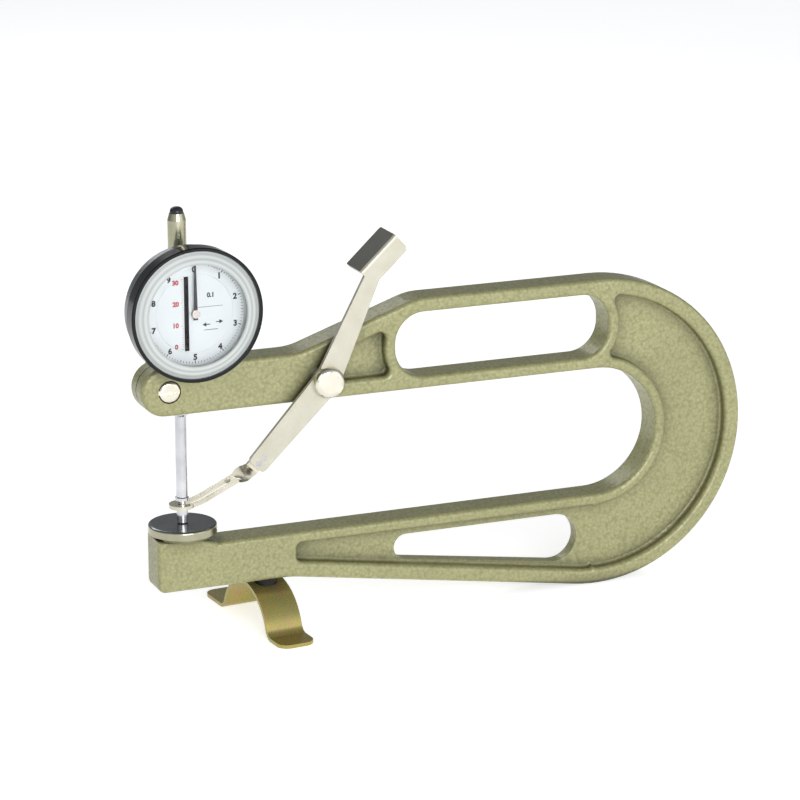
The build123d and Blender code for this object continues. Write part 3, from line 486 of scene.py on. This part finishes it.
# %% Graduations
MARK_OUTER = 21.6

division = np.arange(100)
outer = np.full(100, MARK_OUTER)
length = np.where(division % 10 == 0, 1.2, np.where(division % 5 == 0, 1.0, 0.8))
width = np.where(division % 10 == 0, 0.34, np.where(division % 5 == 0, 0.22, 0.16))
ring = spokes(division * 2 * np.pi / 100, outer - length, outer, width)
mesh_object("scale_marks", *slabs(ring), finishes["black_ink"], "bezel_ring")

# %% [markdown]
# ## Numerals
# Each numeral is a text curve that is turned into a mesh, moved to its place as an
# array of points and given the thickness of the ink. The text objects are removed
# afterwards.

# %% Numerals
def numeral(text, x, z, height_mm):
    """Points and faces of a text centred at x and z in millimetres from the dial's centre."""
    curve = bpy.data.curves.new("numeral", "FONT")
    curve.body = text
    curve.size = 1.0
    curve.extrude = 0.01
    curve.offset = 0.05
    curve.resolution_u = 4
    temp = bpy.data.objects.new("numeral", curve)
    bpy.context.scene.collection.objects.link(temp)
    shape = temp.evaluated_get(bpy.context.evaluated_depsgraph_get())
    mesh = bpy.data.meshes.new_from_object(shape)
    flat = np.empty(len(mesh.vertices) * 3)
    mesh.vertices.foreach_get("co", flat)
    flat = flat.reshape(-1, 3)
    faces = [list(polygon.vertices) for polygon in mesh.polygons]
    bpy.data.meshes.remove(mesh)
    bpy.data.objects.remove(temp)
    bpy.data.curves.remove(curve)
    low, high = flat.min(axis=0), flat.max(axis=0)
    size = height_mm * MM / (high[1] - low[1])
    middle = (low + high) / 2
    points = np.empty_like(flat)
    points[:, 0] = (flat[:, 0] - middle[0]) * size + x * MM
    points[:, 1] = DIAL_FRONT - INK / 2 - (flat[:, 2] - middle[2]) / (high[2] - low[2]) * INK
    points[:, 2] = (flat[:, 1] - middle[1]) * size + z * MM + DIAL_Z
    return points, faces


def numerals(name, entries, height_mm, material, body):
    """One mesh of all the texts given as (text, x, z)."""
    points, faces, count = [], [], 0
    for text, x, z in entries:
        part, polygons = numeral(text, x, z, height_mm)
        faces += [[i + count for i in polygon] for polygon in polygons]
        points.append(part)
        count += len(part)
    mesh_object(name, np.vstack(points), faces, material, body)


DIGIT_RADIUS = 18.9
places = enumerate(np.arange(10) * np.pi / 5)
tens = [(str(i), DIGIT_RADIUS * np.sin(a), DIGIT_RADIUS * np.cos(a)) for i, a in places]
numerals("scale_numerals", tens, 2.7, finishes["black_ink"], "bezel_ring")

# %% [markdown]
# The fixed plate carries the travel scale in red beside the slot, with a mark for
# each millimetre, a longer one for every fifth, and a numeral for every tenth. The
# numerals are squeezed towards the middle, clear of those of the ring. A pair
# of small arrows beside the centre shows which way the needle turns, and a plain
# number above them gives the value of one division in millimetres.

# %% Travel scale
SLOT_LEFT = -4.75
TALLY_X = -8.2
TALLY_SQUEEZE = 0.92

travel = np.arange(31)
middle = travel[-1] / 2
reach = np.where(travel % 10 == 0, 1.3, np.where(travel % 5 == 0, 1.0, 0.7))
rungs = bars(SLOT_LEFT - reach / 2, travel - middle, reach, 0.14)
mesh_object("travel_marks", *slabs(rungs), finishes["red_ink"], "gauge")
tally = [(str(mm), TALLY_X, (mm - middle) * TALLY_SQUEEZE) for mm in (0, 10, 20, 30)]
numerals("travel_numerals", tally, 2.2, finishes["red_ink"], "gauge")

stems = bars(np.array([5.9, 10.2]), np.array([-5.3, -4.5]), np.array([1.8, 1.6]), 0.4)
lines = bars(np.array([7.2, 7.0]), np.array([-7.6, 2.4]),
             np.array([6.0, 11.0]), np.array([0.22, 0.16]))
tips = np.array([[[3.5, -5.35], [5.1, -6.2], [5.1, -4.4], [3.5, -5.25]],
                 [[12.5, -4.45], [10.9, -3.6], [10.9, -5.4], [12.5, -4.55]]])
mesh_object("dial_marks", *slabs(np.vstack([stems, lines, tips])), finishes["black_ink"], "gauge")
numerals("division_value", [("0.1", 7.0, 7.4)], 2.2, finishes["black_ink"], "gauge")

# %% [markdown]
# ## Floor, light and camera
# The gauge stands on a pale floor, which glows a little so that it stays white up to
# the edge of the picture.

# %% Floor
def floor(level, size, colour):
    half = size / 2
    points = [(-half, -half, level), (half, -half, level), (half, half, level), (-half, half, level)]
    mesh = bpy.data.meshes.new("floor")
    mesh.from_pydata(points, [], [(0, 1, 2, 3)])
    paper = Shader("pale_paper")
    grain = paper.noise(40.0)
    paper.set(Base_Color=paper.mix(grain, linear(colour), linear("#F7F7F6")), Roughness=0.9)
    paper.set(Emission_Color=linear(colour), Emission_Strength=0.6)
    mesh.materials.append(paper.material)
    obj = bpy.data.objects.new("floor", mesh)
    bpy.context.scene.collection.objects.link(obj)


floor(cad_box[0][2], 6.0, "#FAFAFA")

# %% [markdown]
# One large soft light in front does most of the work. A weaker one fills the shadows
# from the right, and one from behind draws the upper edges.

# %% Lights
LIT_POINT = (0.1, 0.0, 0.03)


def aim(obj, place, target):
    """Put an object at a place and turn its -Z axis towards the target."""
    way = np.array(target) - np.array(place)
    flat = np.hypot(way[0], way[1])
    obj.location = place
    obj.rotation_euler = (np.arctan2(flat, -way[2]), 0.0, np.arctan2(-way[0], way[1]))


def area_light(name, place, size, power):
    light = bpy.data.lights.new(name, "AREA")
    light.shape = "RECTANGLE"
    light.size, light.size_y = size
    light.energy = power
    obj = bpy.data.objects.new(name, light)
    bpy.context.scene.collection.objects.link(obj)
    aim(obj, place, LIT_POINT)


area_light("key", (0.0, -1.5, 0.40), (0.9, 0.7), 13.0)
area_light("fill", (1.0, -1.0, 0.35), (0.8, 0.8), 1.5)
area_light("rim", (-0.2, 1.2, 0.9), (1.2, 0.4), 4.0)


# %% [markdown]
# The sky is bright in front and near the horizon, and dimmer overhead and behind, so
# faces that look at the reader are lighter than tops and ends.

# %% Sky
def sky(horizon, zenith, behind):
    """World light from horizon to zenith, scaled from 1 in front down to behind at the back.

    The strength is (horizon + (zenith - horizon) * z) times a factor that falls from
    1 to behind as y, the direction's share along Y, rises from -0.6 to 0.4.
    """
    world = bpy.data.worlds.new("studio")
    world.use_nodes = True
    tree = world.node_tree
    ramp = tree.nodes.new("ShaderNodeMapRange")
    split = tree.nodes.new("ShaderNodeSeparateXYZ")
    coords = tree.nodes.new("ShaderNodeTexCoord")
    tree.links.new(coords.outputs["Generated"], split.inputs[0])
    tree.links.new(split.outputs["Z"], ramp.inputs["Value"])
    ramp.inputs["To Min"].default_value = horizon
    ramp.inputs["To Max"].default_value = zenith
    depth = tree.nodes.new("ShaderNodeMapRange")
    tree.links.new(split.outputs["Y"], depth.inputs["Value"])
    for socket, value in zip(("From Min", "From Max", "To Min", "To Max"), (-0.6, 0.4, 1.0, behind)):
        depth.inputs[socket].default_value = value
    product = tree.nodes.new("ShaderNodeMath")
    product.operation = "MULTIPLY"
    tree.links.new(ramp.outputs[0], product.inputs[0])
    tree.links.new(depth.outputs[0], product.inputs[1])
    background = tree.nodes["Background"]
    background.inputs["Color"].default_value = linear("#F6F8FB")
    tree.links.new(product.outputs[0], background.inputs["Strength"])
    bpy.context.scene.world = world


sky(1.05, 0.35, 0.35)
bpy.context.scene.view_settings.view_transform = "Standard"

# %% [markdown]
# The camera stands about 1.4 metres away, to the left of the gauge and above it, with a
# long lens, so that parallel edges stay nearly parallel. It is turned by the angles
# LOOK_RIGHT and LOOK_DOWN in degrees.

# %% Camera
LOOK_RIGHT = 22.62
LOOK_DOWN = 15.87

camera = bpy.data.cameras.new("camera")
camera.sensor_width = 36.0
camera.lens = 144.2
camera.clip_start = 0.05
viewer = bpy.data.objects.new("camera", camera)
viewer.location = (-0.42044, -1.25371, 0.43003)
viewer.rotation_euler = np.radians([90 - LOOK_DOWN, 0.0, -LOOK_RIGHT])
bpy.context.scene.collection.objects.link(viewer)
bpy.context.scene.camera = viewer
